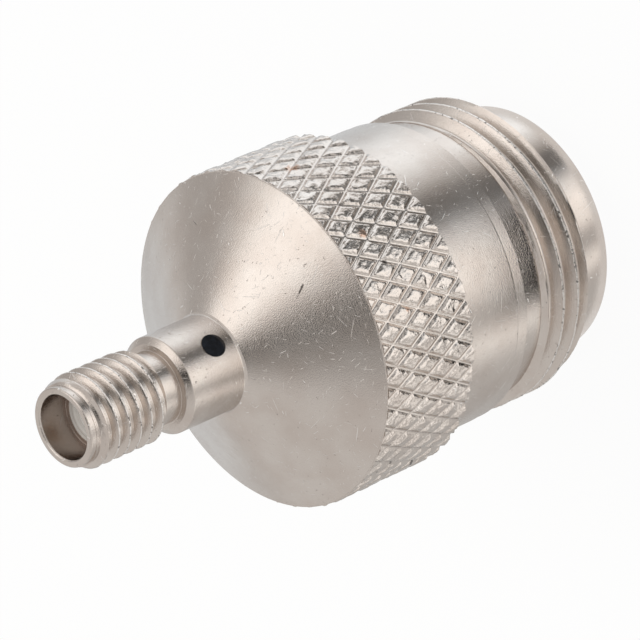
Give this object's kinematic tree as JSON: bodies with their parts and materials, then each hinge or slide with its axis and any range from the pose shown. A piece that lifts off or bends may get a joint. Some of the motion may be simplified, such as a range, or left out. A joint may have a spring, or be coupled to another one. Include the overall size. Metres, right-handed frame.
{
  "type": "coax adapter",
  "caption": "Straight coaxial adapter joining a large threaded jack to a small threaded jack, with a knurled band, a cone and an epoxy-filled side hole in the neck.",
  "frame": {"origin": "centre of the large mouth's rim, on which the adapter stands", "axes": "+Z along the adapter's axis to the small mouth; +X through the side hole of the neck"},
  "size_m": [0.0176, 0.0176, 0.0311],
  "materials": {
    "nickel_plate": "turned and nickel plated, semi-bright",
    "gold_plate": "turned and gold plated, bright",
    "ptfe": "machined PTFE, dull white",
    "epoxy": "cast black epoxy"
  },
  "bodies": {
    "root": {"body": "nickel_plate", "bushing": "nickel_plate", "bead": "ptfe", "small_insulator": "ptfe", "centre_contact": "gold_plate", "epoxy_plug": "epoxy"}
  },
  "joints": []
}
